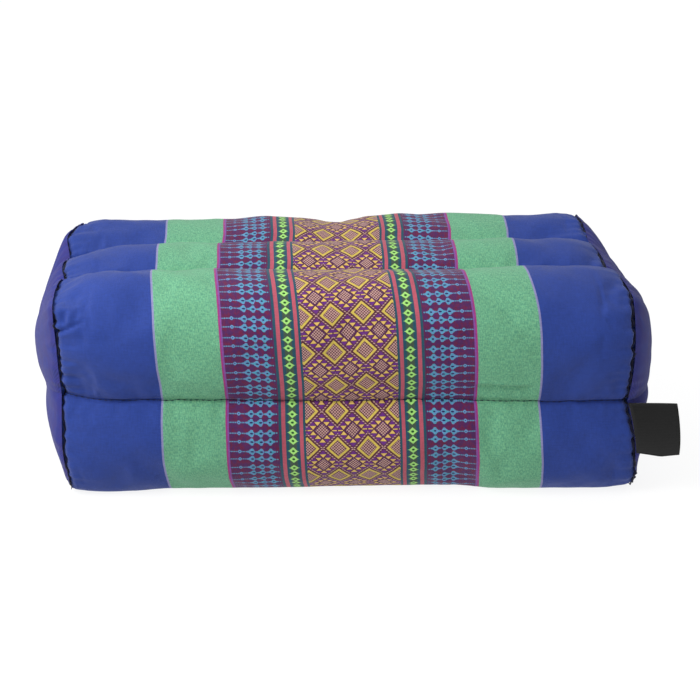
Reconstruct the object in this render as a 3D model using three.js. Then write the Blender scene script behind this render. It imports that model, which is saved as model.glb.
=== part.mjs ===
// Block meditation cushion: a woven wrap filled and sewn into six channels, a twill panel sewn over
// each end, and a folded label tab caught in the right front seam.
// Millimetres. The origin is the middle of the resting face, +X runs along the channels,
// the front faces -Y and +Z is up.

import * as THREE from 'three';

// Driving dimensions
const PANEL_CLOTH = 2;      // thickness of an end panel with its turned seam
const PIECE_GAP = 0.7;      // along X between the filled wrap and an end panel, 0.3 square to them
const HALF_DEPTH = 80;      // depth at which an end seam has its full skew
const CHANNEL_PITCH = 52;   // depth from one channel's crest to the next
const END_SHAPE = { halfDepth: 80, halfHeight: 60, squareness: 3.4 };  // an end panel's plain outline
const NOTCH_FADE = 3;       // how soon the notches of the seam fade out on an end panel
const END_CENTRE_Z = 58;    // height of the middle of an end panel
const CREASE_Z = 57;        // height of the crease across an end panel
const CREASE_WIDTH = 10;
const DOME_POWER = 3.2;     // how square the dome of an end panel is
const DRAW_POWER = 3;       // how late the section draws in towards an end seam

// The two ends. seam: distance of the end seam from the middle, at the stitch lines. skew: how much
// further out the seam stands at the back. run: length over which the section draws in. backLift: rise
// of the back channel at the seam. domeTop and domeLow: swell of the panel over each layer of channels.
const ENDS = {
  left: { sign: -1, seam: 155, skew: 2.7, run: 65, backLift: 2.5, domeTop: 15, domeLow: 11.5, crease: 0.12 },
  right: { sign: 1, seam: 149.5, skew: -6, run: 30, backLift: 6.5, domeTop: 20, domeLow: 11, crease: 0.06 },
};

// Section of the front half, from the top stitch line down to the middle of the base. The back half
// mirrors it. Each place holds [y, z, swell of the cloth on its way to the next knot].
const SECTION = [
  { knot: 'top_stitch', steps: 8, mid: [-26, 114, 10.8], left: [-21.5, 110, 7.6], right: [-23, 115, 3] },
  { knot: 'shoulder', steps: 10, mid: [-79, 114, 10.5], left: [-78.5, 115, 4.5], right: [-73, 113.5, 8.4] },
  { knot: 'front_stitch', steps: 6, mid: [-81, 57, 4], left: [-72, 60.5, 4], right: [-78, 56.3, 4.5] },
  { knot: 'hip', steps: 3, mid: [-79, 15.5, 2], left: [-76, 16, 2], right: [-77, 14.6, 2] },
  { knot: 'foot_out', steps: 2, mid: [-63.5, 0, 0], left: [-65, 0.6, 0], right: [-65, 0.6, 0] },
  { knot: 'foot_in', steps: 2, mid: [-37.5, 0, 1.2], left: [-36, 3, 1], right: [-36, 3, 1] },
  { knot: 'bottom_stitch', steps: 2, mid: [-26, 7.5, 1.2], left: [-25, 6, 1], right: [-25, 6, 1] },
  { knot: 'mid_foot', steps: 3, mid: [-14.5, 0, 0], left: [-14.5, 3, 0], right: [-14.5, 3, 0] },
];
const MIDDLE_TOP = { steps: 8, mid: 10.5, left: 3.6, right: 1.5 };

// How far each channel's mouth bows out of the end seam, between its two stitch lines
const MOUTHS = [
  { from: 'top_stitch', to: 'front_stitch', left: 1.5, right: 1 },
  { from: 'front_stitch', to: 'bottom_stitch', left: 0.6, right: 7 },
  { from: 'bottom_stitch', to: 'back_bottom_stitch', left: 1.5, right: 1.5 },
  { from: 'back_bottom_stitch', to: 'back_front_stitch', left: 1.5, right: 3 },
  { from: 'back_front_stitch', to: 'back_top_stitch', left: 1.5, right: 1 },
  { from: 'back_top_stitch', to: 'top_stitch', left: 3, right: 1.5 },
];

// Unevenness of the filling: rise of the middle and back channels at the right end
const MIDDLE_RISE = 1.7;
const BACK_RISE = 2.3;
const LIFT_FROM_Z = 60;
const LIFT_FULL_Z = 110;
const LIFT_FADE = 35;       // depth behind the back crest over which the rise fades
const LIFT_FADE_SHARE = 0.7;

// Rings of the mesh
const MIDDLE_RINGS = 6;
const LEFT_RINGS = 8;
const RIGHT_RINGS = 7;
const CAP_RINGS = [0.96, 0.88, 0.75, 0.57, 0.34];

// Label tab, a folded ribbon
const LABEL = {
  top: 55.3, height: 30.3, reach: 24.5, start: 0.2, thickness: 1.2, clearance: 0.45, curl: 1.6, rows: 6,
  columns: 6,
};

const FINISHES = {
  wrap: { color: 0x30469a, roughness: 0.85 },
  panel: { color: 0x555096, roughness: 0.88 },
  label: { color: 0x1e1e1e, roughness: 0.6 },
};

const mix = THREE.MathUtils.lerp;
const clamp = THREE.MathUtils.clamp;

// Points of a circular arc from one section point up to, but without, the next
function arcPoints(from, to, swell, steps) {
  const chord = to.clone().sub(from);
  const length = chord.length();
  const along = chord.clone().normalize();
  const outward = new THREE.Vector2(along.y, -along.x);
  const halfAngle = 2 * Math.atan2(2 * swell, length);
  const points = [];
  for (let step = 0; step < steps; step += 1) {
    const share = step / steps;
    const point = from.clone().addScaledVector(chord, share);
    if (swell > 0) {
      const radius = length / 2 / Math.sin(halfAngle);
      const angle = halfAngle * (2 * share - 1);
      point.copy(from);
      point.addScaledVector(along, length / 2 + radius * Math.sin(angle));
      point.addScaledVector(outward, radius * (Math.cos(angle) - Math.cos(halfAngle)));
    }
    points.push(point);
  }
  return points;
}

// Closed section loop, counter-clockwise seen from +X, at a share of the way to an end seam
function sectionLoop(endName, share) {
  const knots = SECTION.map((row) => row.mid.map((value, i) => mix(value, row[endName][i], share)));
  const front = knots.map(([y, z]) => new THREE.Vector2(y, z));
  const back = front.map((point) => new THREE.Vector2(-point.x, point.y));
  const last = SECTION.length - 1;
  const loop = [];
  for (let i = 0; i < last; i += 1) {
    loop.push(...arcPoints(front[i], front[i + 1], knots[i][2], SECTION[i].steps));
  }
  loop.push(...arcPoints(front[last], back[last], knots[last][2], SECTION[last].steps));
  for (let i = last; i > 0; i -= 1) {
    loop.push(...arcPoints(back[i], back[i - 1], knots[i - 1][2], SECTION[i - 1].steps));
  }
  const crown = mix(MIDDLE_TOP.mid, MIDDLE_TOP[endName], share);
  loop.push(...arcPoints(back[0], front[0], crown, MIDDLE_TOP.steps));
  return loop;
}

// Place of each stitch line's knot in a section loop
function knotPlaces() {
  const places = {};
  let place = 0;
  for (const row of SECTION) {
    places[row.knot] = place;
    place += row.steps;
  }
  for (let i = SECTION.length - 2; i >= 0; i -= 1) {
    places[`back_${SECTION[i + 1].knot}`] = place;
    place += SECTION[i].steps;
  }
  places.back_top_stitch = place;
  return places;
}

// Distance of every loop point's end seam from the middle: skewed, and bowed out at each channel
function seamReach(endName) {
  const end = ENDS[endName];
  const loop = sectionLoop(endName, 1);
  const places = knotPlaces();
  const reach = loop.map((point) => end.seam + end.skew * point.x / HALF_DEPTH);
  for (const mouth of MOUTHS) {
    const first = places[mouth.from];
    const steps = (places[mouth.to] - first + loop.length) % loop.length;
    const lengths = [0];
    for (let step = 1; step <= steps; step += 1) {
      const here = loop[(first + step) % loop.length];
      lengths.push(lengths[step - 1] + here.distanceTo(loop[(first + step - 1) % loop.length]));
    }
    for (let step = 1; step < steps; step += 1) {
      const bow = Math.sin(Math.PI * lengths[step] / lengths[steps]);
      reach[(first + step) % loop.length] += mouth[endName] * bow;
    }
  }
  return reach;
}

const REACH = { left: seamReach('left'), right: seamReach('right') };

// Ring of the wrap at a share of the way from the middle to an end seam
function wrapRing(endName, way) {
  const end = ENDS[endName];
  const drawn = clamp((way - 1) * end.seam / end.run + 1, 0, 1) ** DRAW_POWER;
  return sectionLoop(endName, drawn).map(({ x: y, y: z }, i) => {
    const upper = clamp((z - LIFT_FROM_Z) / (LIFT_FULL_Z - LIFT_FROM_Z), 0, 1);
    const behind = clamp((y - CHANNEL_PITCH) / LIFT_FADE, 0, 1);
    const back = clamp(y / CHANNEL_PITCH, 0, 1) * (1 - LIFT_FADE_SHARE * behind);
    const middle = clamp(1 - Math.abs(y) / CHANNEL_PITCH, 0, 1);
    const rise = (MIDDLE_RISE * middle + BACK_RISE * back) * end.sign * way;
    const lift = upper * (rise + end.backLift * drawn * back);
    return new THREE.Vector3(end.sign * way * REACH[endName][i], y, z + lift);
  });
}

// Distance from the middle of an end to its plain outline, a rounded rectangle, in a given direction
function plainReach(y, z) {
  const across = Math.abs(y) / END_SHAPE.halfDepth;
  const up = Math.abs(z) / END_SHAPE.halfHeight;
  const { squareness } = END_SHAPE;
  return Math.hypot(y, z) / (across ** squareness + up ** squareness) ** (1 / squareness);
}

// Ring of an end's dome, shrunk towards the middle of the end, moved out along X by an offset
function domeRing(endName, size, offset) {
  const end = ENDS[endName];
  const centre = new THREE.Vector3(end.sign * end.seam, 0, END_CENTRE_Z);
  return wrapRing(endName, 1).map((rim) => {
    const [y, z] = [rim.y, rim.z - END_CENTRE_Z];
    const plainShare = (1 - size ** NOTCH_FADE) * (plainReach(y, z) / Math.hypot(y, z) - 1);
    const point = centre.clone().lerp(rim, size);
    point.y += size * plainShare * y;
    point.z += size * plainShare * z;
    const height = (point.z - CREASE_Z) / CREASE_WIDTH;
    const swell = mix(end.domeLow, end.domeTop, THREE.MathUtils.smoothstep(height, -1, 1));
    const crease = 1 - end.crease * Math.exp(-height * height);
    point.x += end.sign * (offset + swell * crease * (1 - size ** DOME_POWER));
    return point;
  });
}

// Rings of an end's dome from its rim inwards, and the tip that closes it
function domeRings(endName, offset, sizes) {
  return {
    rings: sizes.map((size) => domeRing(endName, size, offset)),
    tip: domeRing(endName, 0, offset)[0],
  };
}

// Closed skin over a row of rings that run counter-clockwise about their way, with a tip at both ends.
// Each four-sided patch is split along its shorter diagonal, so that skins with a gap between them
// fold alike.
function closedSkin(firstTip, rings, lastTip) {
  const count = rings[0].length;
  const points = [firstTip, ...rings.flat(), lastTip];
  const lastIndex = points.length - 1;
  const at = (ring, i) => 1 + ring * count + (i % count);
  const faces = [];
  for (let i = 0; i < count; i += 1) {
    faces.push(0, at(0, i + 1), at(0, i));
    for (let ring = 0; ring < rings.length - 1; ring += 1) {
      const [a, b, c, d] = [at(ring, i), at(ring, i + 1), at(ring + 1, i + 1), at(ring + 1, i)];
      const splitFromFirst = points[a].distanceTo(points[c]) < points[b].distanceTo(points[d]);
      faces.push(...(splitFromFirst ? [a, b, c, a, c, d] : [a, b, d, b, c, d]));
    }
    faces.push(at(rings.length - 1, i), at(rings.length - 1, i + 1), lastIndex);
  }
  return indexedGeometry(points, faces);
}

function indexedGeometry(points, faces) {
  const geometry = new THREE.BufferGeometry().setFromPoints(points);
  geometry.setIndex(faces);
  geometry.computeVertexNormals();
  return geometry;
}

// Shares of the way to an end seam at which the wrap has rings, closer together near the seam
function ringWays(endName, rings) {
  const end = ENDS[endName];
  const drawStart = 1 - end.run / end.seam;
  const ways = [];
  for (let ring = 0; ring <= rings; ring += 1) {
    const share = Math.sin(Math.PI / 2 * ring / rings);
    ways.push(mix(drawStart, 1, share));
  }
  return ways;
}

// The filled wrap: both end domes and the girth between them as one solid
function filledWrap() {
  const left = ringWays('left', LEFT_RINGS).reverse().map((way) => wrapRing('left', way));
  const right = ringWays('right', RIGHT_RINGS).map((way) => wrapRing('right', way));
  const middle = [];
  for (let ring = 1; ring < MIDDLE_RINGS; ring += 1) {
    const share = ring / MIDDLE_RINGS;
    const innerLeft = left[left.length - 1];
    middle.push(innerLeft.map((point, i) => point.clone().lerp(right[0][i], share)));
  }
  const leftDome = domeRings('left', 0, CAP_RINGS);
  const rightDome = domeRings('right', 0, CAP_RINGS);
  const rings = [...leftDome.rings.reverse(), ...left, ...middle, ...right, ...rightDome.rings];
  return closedSkin(leftDome.tip, rings, rightDome.tip);
}

// An end panel: a domed sheet from the seam's rim over the filled end
function endPanel(endName) {
  const sizes = [1, ...CAP_RINGS];
  const inner = domeRings(endName, PIECE_GAP, sizes);
  const outer = domeRings(endName, PIECE_GAP + PANEL_CLOTH, sizes);
  const [first, last] = ENDS[endName].sign > 0 ? [inner, outer] : [outer, inner];
  return closedSkin(first.tip, [...first.rings.reverse(), ...last.rings], last.tip);
}

// Point of the right front seam at a height on its lower channel
function frontSeamAt(height) {
  const places = knotPlaces();
  const rim = wrapRing('right', 1).slice(places.front_stitch, places.foot_out + 1);
  const lower = rim.findIndex((point) => point.z <= height);
  const [above, below] = [rim[lower - 1], rim[lower]];
  return above.clone().lerp(below, (above.z - height) / (above.z - below.z));
}

// The label: a sheet that follows the seam at its root and curls forward a little at its free edge
function labelTab() {
  const columns = LABEL.columns + 1;
  const sheet = [];
  for (let row = 0; row <= LABEL.rows; row += 1) {
    const root = frontSeamAt(LABEL.top - LABEL.height * row / LABEL.rows);
    for (let column = 0; column <= LABEL.columns; column += 1) {
      const share = column / LABEL.columns;
      const x = root.x + LABEL.start + LABEL.reach * share;
      const y = root.y - LABEL.clearance - LABEL.thickness / 2 - LABEL.curl * share * share;
      sheet.push(new THREE.Vector3(x, y, root.z));
    }
  }
  const toFront = new THREE.Vector3(0, -LABEL.thickness / 2, 0);
  const front = sheet.map((point) => point.clone().add(toFront));
  const back = sheet.map((point) => point.clone().sub(toFront));
  const faces = [];
  const frontAt = (row, column) => row * columns + column;
  const backAt = (row, column) => sheet.length + row * columns + column;
  const corners = (at, row, column) => [
    at(row, column), at(row + 1, column), at(row + 1, column + 1), at(row, column + 1),
  ];
  const quad = (a, b, c, d) => faces.push(a, b, c, a, c, d);
  for (let row = 0; row < LABEL.rows; row += 1) {
    for (let column = 0; column < LABEL.columns; column += 1) {
      quad(...corners(frontAt, row, column));
      quad(...corners(backAt, row, column).reverse());
    }
    quad(frontAt(row, 0), backAt(row, 0), backAt(row + 1, 0), frontAt(row + 1, 0));
    const free = LABEL.columns;
    quad(frontAt(row, free), frontAt(row + 1, free), backAt(row + 1, free), backAt(row, free));
  }
  for (let column = 0; column < LABEL.columns; column += 1) {
    quad(frontAt(0, column), frontAt(0, column + 1), backAt(0, column + 1), backAt(0, column));
    const low = LABEL.rows;
    quad(frontAt(low, column), backAt(low, column), backAt(low, column + 1), frontAt(low, column + 1));
  }
  return indexedGeometry([...front, ...back], faces);
}

function namedMesh(name, geometry, finish) {
  const material = new THREE.MeshStandardMaterial({ ...finish, metalness: 0 });
  const mesh = new THREE.Mesh(geometry, material);
  mesh.name = name;
  return mesh;
}

const cushion = new THREE.Group();
cushion.add(namedMesh('cushion_body', filledWrap(), FINISHES.wrap));
cushion.add(namedMesh('end_panel_left', endPanel('left'), FINISHES.panel));
cushion.add(namedMesh('end_panel_right', endPanel('right'), FINISHES.panel));
cushion.add(namedMesh('label_tab', labelTab(), FINISHES.label));

export default cushion;
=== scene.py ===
"""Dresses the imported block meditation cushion: woven wrap, end panels, sewing thread and label tab.

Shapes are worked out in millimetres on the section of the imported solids, and become metres when a mesh is
made. +X runs along the channels, the front faces -Y and +Z is up.
"""

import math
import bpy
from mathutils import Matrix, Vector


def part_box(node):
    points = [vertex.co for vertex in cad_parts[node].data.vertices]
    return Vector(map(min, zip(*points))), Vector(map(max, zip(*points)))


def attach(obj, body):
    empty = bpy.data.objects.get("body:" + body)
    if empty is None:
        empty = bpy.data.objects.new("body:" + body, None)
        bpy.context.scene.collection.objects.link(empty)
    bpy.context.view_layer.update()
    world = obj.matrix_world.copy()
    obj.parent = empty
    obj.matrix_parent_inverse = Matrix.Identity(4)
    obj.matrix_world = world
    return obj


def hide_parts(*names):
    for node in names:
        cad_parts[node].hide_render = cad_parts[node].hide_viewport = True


bl_info = {
    "name": "Block Meditation Cushion",
    "version": (1, 0, 0),
    "blender": (4, 5, 0),
    "location": "View3D > Sidebar > Cushion",
    "description": "Builds a filled block cushion with a patterned woven wrap, twill ends and its sewing",
    "category": "Add Mesh",
}

from collections import namedtuple

import bpy
import numpy as np
from bpy.props import FloatProperty, FloatVectorProperty, PointerProperty
from bpy.types import Operator, Panel, PropertyGroup
from mathutils import Quaternion, Vector

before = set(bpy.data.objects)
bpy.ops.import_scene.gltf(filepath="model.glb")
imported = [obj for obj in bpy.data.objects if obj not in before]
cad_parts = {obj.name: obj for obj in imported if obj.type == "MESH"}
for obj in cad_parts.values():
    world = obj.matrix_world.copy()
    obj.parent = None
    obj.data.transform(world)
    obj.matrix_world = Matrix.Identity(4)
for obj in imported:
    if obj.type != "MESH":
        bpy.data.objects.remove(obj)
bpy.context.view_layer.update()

MM = 0.001
BODY = "root"

# Shape of the cushion, in millimetres

Knot = namedtuple("Knot", "name steps mid left right")
Channel = namedtuple("Channel", "start end bow_left bow_right row_at row_tilt")
End = namedtuple("End", (
    "sign seam skew run back_lift dome_head dome_top dome_low dome_foot dome_power crease crease_z"
))
Draw = namedtuple("Draw", "end y half_depth z_from z_full run drop push")

# Section of the front half, from the top stitch line down to the middle of the base. The back half mirrors
# it. Each place holds (y, z, swell of the cloth on its way to the next knot).
SECTION = (
    Knot("top_stitch", 44, (-26, 114, 10.8), (-21.5, 110, 7.6), (-23, 115, 3)),
    Knot("shoulder", 60, (-79, 114, 10.5), (-78.5, 115, 4.5), (-73, 113.5, 8.4)),
    Knot("front_stitch", 34, (-81, 57, 4), (-72, 60.5, 4), (-78, 56.3, 4.5)),
    Knot("hip", 12, (-79, 15.5, 2), (-76, 16, 2), (-77, 14.6, 2)),
    Knot("foot_out", 6, (-63.5, 0, 0), (-65, 0.6, 0), (-65, 0.6, 0)),
    Knot("foot_in", 5, (-37.5, 0, 1.2), (-36, 3, 1), (-36, 3, 1)),
    Knot("bottom_stitch", 6, (-26, 7.5, 1.2), (-25, 6, 1), (-25, 6, 1)),
    Knot("mid_foot", 8, (-14.5, 0, 0), (-14.5, 3, 0), (-14.5, 3, 0)),
)
MIDDLE_TOP = {"steps": 40, "mid": 10.5, "left": 3.6, "right": 1.5}

# The six channels between stitch lines. bow: how far the channel's mouth bows out of each end seam.
# row_at: girth length at which a row of large diamonds lies. row_tilt: climb of the woven rows along X.
CHANNELS = (
    Channel("top_stitch", "front_stitch", 1.5, 1.0, 12.8, 0.0616),
    Channel("front_stitch", "bottom_stitch", 0.6, 7.0, -4.8, 0.01),
    Channel("bottom_stitch", "back_bottom_stitch", 1.5, 1.5, -96.0, 0.0),
    Channel("back_bottom_stitch", "back_front_stitch", 1.5, 3.0, -180.0, 0.04),
    Channel("back_front_stitch", "back_top_stitch", 1.5, 1.0, 192.7, -0.115),
    Channel("back_top_stitch", "top_stitch", 3.0, 1.5, 139.4, -0.065),
)

# The two ends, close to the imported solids
ENDS = {
    "left": End(-1, 155.0, 2.7, 65.0, 2.5, 0.72, 15.8, 11.6, 0.6, 2.7, 0.2, 57.0),
    "right": End(1, 149.5, -6.0, 30.0, 6.5, 1.0, 19.6, 10.5, 0.1, 4.2, 0.05, 44.0),
}

# Places where an end seam draws the cloth down (drop) or moves along X (push). The pull works around a
# depth y, grows from z_from to z_full and fades out over its run from the seam.
DRAWS = (
    Draw("left", -60.0, 26.0, 88.0, 116.0, 17.0, 7.5, 1.5),
    Draw("left", 66.0, 18.0, 108.0, 122.0, 14.0, 0.8, -7.4),
    Draw("left", 38.0, 12.0, 95.0, 112.0, 9.0, 0.0, 2.5),
    Draw("left", 55.0, 26.0, 100.0, 120.0, 40.0, -1.4, 0.0),
    Draw("left", -66.0, 34.0, 32.0, 2.0, 11.0, -1.6, -3.6),
    Draw("right", -66.0, 34.0, 24.0, 2.0, 10.0, -1.8, 0.8),
    Draw("right", 40.0, 20.0, 100.0, 118.0, 12.0, 0.0, 1.6),
)

# Rise and fall of the back channel's crest along X
CREST_AT = (-150, -80, -60, -40, -20, -5, 5, 20, 40, 70, 110, 140, 150)
CREST_UP = (0, 0, 0.8, 1.4, 0.8, -1.0, -0.8, 1.4, 2.0, 1.4, 0.5, 1.2, 1.2)
CREST_FROM = {"y_from": 20.0, "y_full": 45.0, "z_from": 80.0, "z_full": 115.0}
HALF_DEPTH = 80.0
CHANNEL_PITCH = 52.0
END_HALF_DEPTH = 80.0
END_HALF_HEIGHT = 60.0
END_SQUARENESS = 3.4
NOTCH_FADE = 3.0
END_CENTRE_Z = 58.0
CREASE_WIDTH = 10.0
DOME_FULL_Z = 31.0
DOME_HEAD_Z = (80.0, 118.0)
DRAW_POWER = 3.0
MIDDLE_RISE = 1.7
BACK_RISE = 2.3
LIFT_FROM_Z = 60.0
LIFT_FULL_Z = 110.0
LIFT_FADE = 35.0
LIFT_FADE_SHARE = 0.7

# Drift of the bands' middle along X and their stretch, at lengths above the front stitch line. SWAY is how
# much of a band's distance from the middle counts for the tilt of its rows.
DRIFT_AT = (-62, -45, -27, -12, 0, 12, 33, 54, 68, 80, 92, 105, 130, 145, 160, 193, 210)
DRIFT_X = (8.0, 6.4, 5.3, 4.6, 4.2, 3.8, 2.4, 1.0, -0.3, -1.4, -2.1, -2.2, -1.2, -1.5, -1.2, 1.0, 0.6)
SWAY_AT = (-100, -60, -32, 32, 44, 60, 100)
SWAY = (0, -2, -32, 32, 36, 47, 50)
STRETCH_AT = (-62, -35, -10, 0, 25, 50, 75, 100)
STRETCH = (0.015, 0.018, 0.009, 0.002, 0.007, 0.006, 0.0, 0.0)


def blend(first, last, share):
    return first + (last - first) * share


def smooth_step(value, low, high):
    share = np.clip((value - low) / (high - low), 0, 1)
    return share * share * (3 - 2 * share)


def gathered(steps, first, last):
    """Shares from 0 up to, but without, 1. They lie closer together at ends that meet a stitch line."""
    share = np.arange(steps)[:, None] / steps
    if first and last:
        return share - 0.1 * np.sin(2 * np.pi * share)
    if first:
        return 0.4 * share + 0.6 * share ** 2
    if last:
        return 1 - 0.4 * (1 - share) - 0.6 * (1 - share) ** 2
    return share


def arc(start, end, swell, share):
    """Points of a circular arc from one section point to the next."""
    chord = end - start
    length = np.hypot(*chord)
    along = chord / length
    outward = np.array((along[1], -along[0]))
    if swell <= 0:
        return start + chord * share
    half_angle = 2 * math.atan2(2 * swell, length)
    radius = length / 2 / math.sin(half_angle)
    angle = half_angle * (2 * share - 1)
    rise = radius * (np.cos(angle) - math.cos(half_angle))
    return start + along * (length / 2 + radius * np.sin(angle)) + outward * rise


class CushionForm:
    """The cushion's shape, with a share of the full number of points around its girth."""

    def __init__(self, density=1.0):
        self.steps = [max(2, round(knot.steps * density)) for knot in SECTION]
        self.crown_steps = round(MIDDLE_TOP["steps"] * density)
        self.places = self.knot_places()
        self.going, self.coming = self.arc_shares()
        loop = self.section("left", 0)
        self.count = len(loop)
        step = np.linalg.norm(np.roll(loop, -1, axis=0) - loop, axis=1)
        self.run = np.concatenate([[0], np.cumsum(step)])
        self.channel = self.channel_of_each_step()
        self.up = self.length_above_front_stitch()
        self.reach = {name: self.seam_reach(name) for name in ENDS}

    def section(self, end_name, share):
        """Closed loop, counter-clockwise seen from +X, at a share of the way to an end seam."""
        knots = []
        for knot in SECTION:
            middle = np.array(knot.mid, float)
            seam = np.array(getattr(knot, end_name), float)
            knots.append(blend(middle, seam, share))
        front = [knot[:2] for knot in knots]
        back = [point * (-1, 1) for point in front]
        swell = [knot[2] for knot in knots]
        last = len(SECTION) - 1
        arcs = [arc(front[i], front[i + 1], swell[i], self.going[i]) for i in range(last)]
        arcs.append(arc(front[last], back[last], swell[last], self.going[last]))
        for i in range(last, 0, -1):
            arcs.append(arc(back[i], back[i - 1], swell[i - 1], self.coming[i - 1]))
        crown = blend(MIDDLE_TOP["mid"], MIDDLE_TOP[end_name], share)
        arcs.append(arc(back[0], front[0], crown, gathered(self.crown_steps, True, True)))
        return np.vstack(arcs)

    def arc_shares(self):
        """Shares along each arc of the front half, and along the same arc met from below at the back."""
        stitched = [knot.name.endswith("stitch") for knot in SECTION] + [False]
        going = []
        coming = []
        for i, steps in enumerate(self.steps):
            going.append(gathered(steps, stitched[i], stitched[i + 1]))
            coming.append(gathered(steps, stitched[i + 1], stitched[i]))
        return going, coming

    def knot_places(self):
        places = {}
        place = 0
        for knot, steps in zip(SECTION, self.steps):
            places[knot.name] = place
            place += steps
        for i in range(len(SECTION) - 2, -1, -1):
            places["back_" + SECTION[i + 1].name] = place
            place += self.steps[i]
        places["back_top_stitch"] = place
        return places

    def channel_of_each_step(self):
        channel = np.zeros(self.count, int)
        for number, row in enumerate(CHANNELS):
            first = self.places[row.start]
            steps = (self.places[row.end] - first) % self.count
            channel[(first + np.arange(steps)) % self.count] = number
        return channel

    def length_above_front_stitch(self):
        """Girth length at both ends of each step: it grows up the front and over the top to the back."""
        zero = self.run[self.places["front_stitch"]]
        over_the_top = np.where(self.channel >= 4, self.run[-1], 0)
        return np.stack([zero - self.run[:-1] + over_the_top, zero - self.run[1:] + over_the_top])

    def stitch_distance(self):
        """Girth length from each loop point to its nearest stitch line."""
        whole = self.run[-1]
        nearest = np.full(self.count, whole)
        for row in CHANNELS:
            apart = np.abs(self.run[:-1] - self.run[self.places[row.start]])
            nearest = np.minimum(nearest, np.minimum(apart, whole - apart))
        return nearest

    def seam_reach(self, end_name):
        """Distance of each loop point's end seam from the middle: skewed, and bowed out at each channel."""
        end = ENDS[end_name]
        loop = self.section(end_name, 1)
        reach = end.seam + end.skew * loop[:, 0] / HALF_DEPTH
        for row in CHANNELS:
            first = self.places[row.start]
            steps = (self.places[row.end] - first) % self.count
            path = loop[(first + np.arange(steps + 1)) % self.count]
            length = np.concatenate([[0], np.cumsum(np.linalg.norm(np.diff(path, axis=0), axis=1))])
            bow = getattr(row, "bow_" + end_name) * np.sin(np.pi * length / length[-1])
            reach[(first + np.arange(steps)) % self.count] += bow[:-1]
        return reach

    def ring(self, end_name, way):
        """Ring of the wrap at a share of the way from the middle to an end seam."""
        end = ENDS[end_name]
        drawn = min(max((way - 1) * end.seam / end.run + 1, 0), 1) ** DRAW_POWER
        y, z = self.section(end_name, drawn).T
        upper = np.clip((z - LIFT_FROM_Z) / (LIFT_FULL_Z - LIFT_FROM_Z), 0, 1)
        behind = np.clip((y - CHANNEL_PITCH) / LIFT_FADE, 0, 1)
        back = np.clip(y / CHANNEL_PITCH, 0, 1) * (1 - LIFT_FADE_SHARE * behind)
        middle = np.clip(1 - np.abs(y) / CHANNEL_PITCH, 0, 1)
        rise = (MIDDLE_RISE * middle + BACK_RISE * back) * end.sign * way
        z = z + upper * (rise + end.back_lift * drawn * back)
        x = end.sign * way * self.reach[end_name]
        from_seam = (1 - way) * self.reach[end_name]
        crest = smooth_step(y, CREST_FROM["y_from"], CREST_FROM["y_full"])
        crest = crest * smooth_step(z, CREST_FROM["z_from"], CREST_FROM["z_full"])
        z = z + np.interp(x, CREST_AT, CREST_UP) * crest
        for draw in DRAWS:
            if draw.end == end_name:
                pull = np.exp(-((y - draw.y) / draw.half_depth) ** 2 - (from_seam / draw.run) ** 2)
                pull = pull * smooth_step(z, draw.z_from, draw.z_full)
                x = x + end.sign * draw.push * pull
                z = z - draw.drop * pull
        return np.column_stack([x, y, z])

    def dome(self, end_name, size, offset):
        """Ring of an end's dome, shrunk towards its middle and moved out along X by an offset."""
        end = ENDS[end_name]
        centre = np.array((end.sign * end.seam, 0, END_CENTRE_Z))
        rim = self.ring(end_name, 1) - centre
        y, z = rim[:, 1], rim[:, 2]
        across = np.abs(y) / END_HALF_DEPTH
        tall = np.abs(z) / END_HALF_HEIGHT
        plain = 1 / (across ** END_SQUARENESS + tall ** END_SQUARENESS) ** (1 / END_SQUARENESS)
        spread = 1 + (1 - size ** NOTCH_FADE) * (plain - 1)
        points = centre + rim * size * np.column_stack([np.ones_like(y), spread, spread])
        height = (points[:, 2] - end.crease_z) / CREASE_WIDTH
        swell = blend(end.dome_low, end.dome_top, smooth_step(height, -1, 1))
        swell = swell * (1 - end.crease * np.exp(-height * height))
        swell = swell * blend(end.dome_foot, 1, smooth_step(points[:, 2], 0, DOME_FULL_Z))
        swell = swell * blend(1, end.dome_head, smooth_step(points[:, 2], *DOME_HEAD_Z))
        points[:, 0] += end.sign * (offset + swell * (1 - size ** end.dome_power))
        return points


# Relief of the cloth, in millimetres

Crease = namedtuple("Crease", "x_from up_from x_to up_to width depth")

# Creases placed where the cloth is pulled: troughs have a depth above zero, ridges below it
CREASES = (
    Crease(-155, 44.5, -138, 52.5, 1.2, 2.4),
    Crease(-154, 40.5, -140, 48.0, 2.6, -0.9),
    Crease(-148.4, 60.0, -149.0, 51.0, 1.5, 1.0),
    Crease(-145.0, 59.0, -147.0, 50.0, 1.4, -0.9),
    Crease(-141.5, 60.0, -142.5, 52.0, 1.5, 0.8),
    Crease(-136.6, 65.0, -136.0, 55.0, 2.2, 0.9),
    Crease(-121.7, 60.0, -121.5, 50.0, 2.5, -0.5),
    Crease(-152, 36.0, -142, 37.2, 1.2, 0.8),
    Crease(-152, 25.0, -143, 27.0, 1.6, 0.6),
    Crease(-151, 15.0, -141, 14.0, 1.8, 0.6),
    Crease(139.5, 52.0, 143.5, 47.0, 1.3, 0.7),
    Crease(146, 62.0, 138, 64.0, 1.8, 0.6),
    Crease(147, 71.0, 138, 70.0, 2.0, 0.6),
    Crease(149, 20.0, 141, 19.0, 1.8, 0.5),
    Crease(-150, -12.0, -142, -11.0, 1.6, 0.6),
    Crease(-150, -30.0, -140, -27.0, 2.0, 0.6),
    Crease(151, -14.0, 144, -15.0, 1.8, 0.5),
)
TUCK = {"x_from": 71.0, "x_to": 100.0, "up": 11.4, "depth": 1.6, "fade": 3.0}
STITCH_PITCH = 3.3
STITCH_PULL = 1.9
GROOVE = {"under_front_line": 0.8, "elsewhere": 2.0, "front_reach": 40.0, "line": 1.2}

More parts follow.
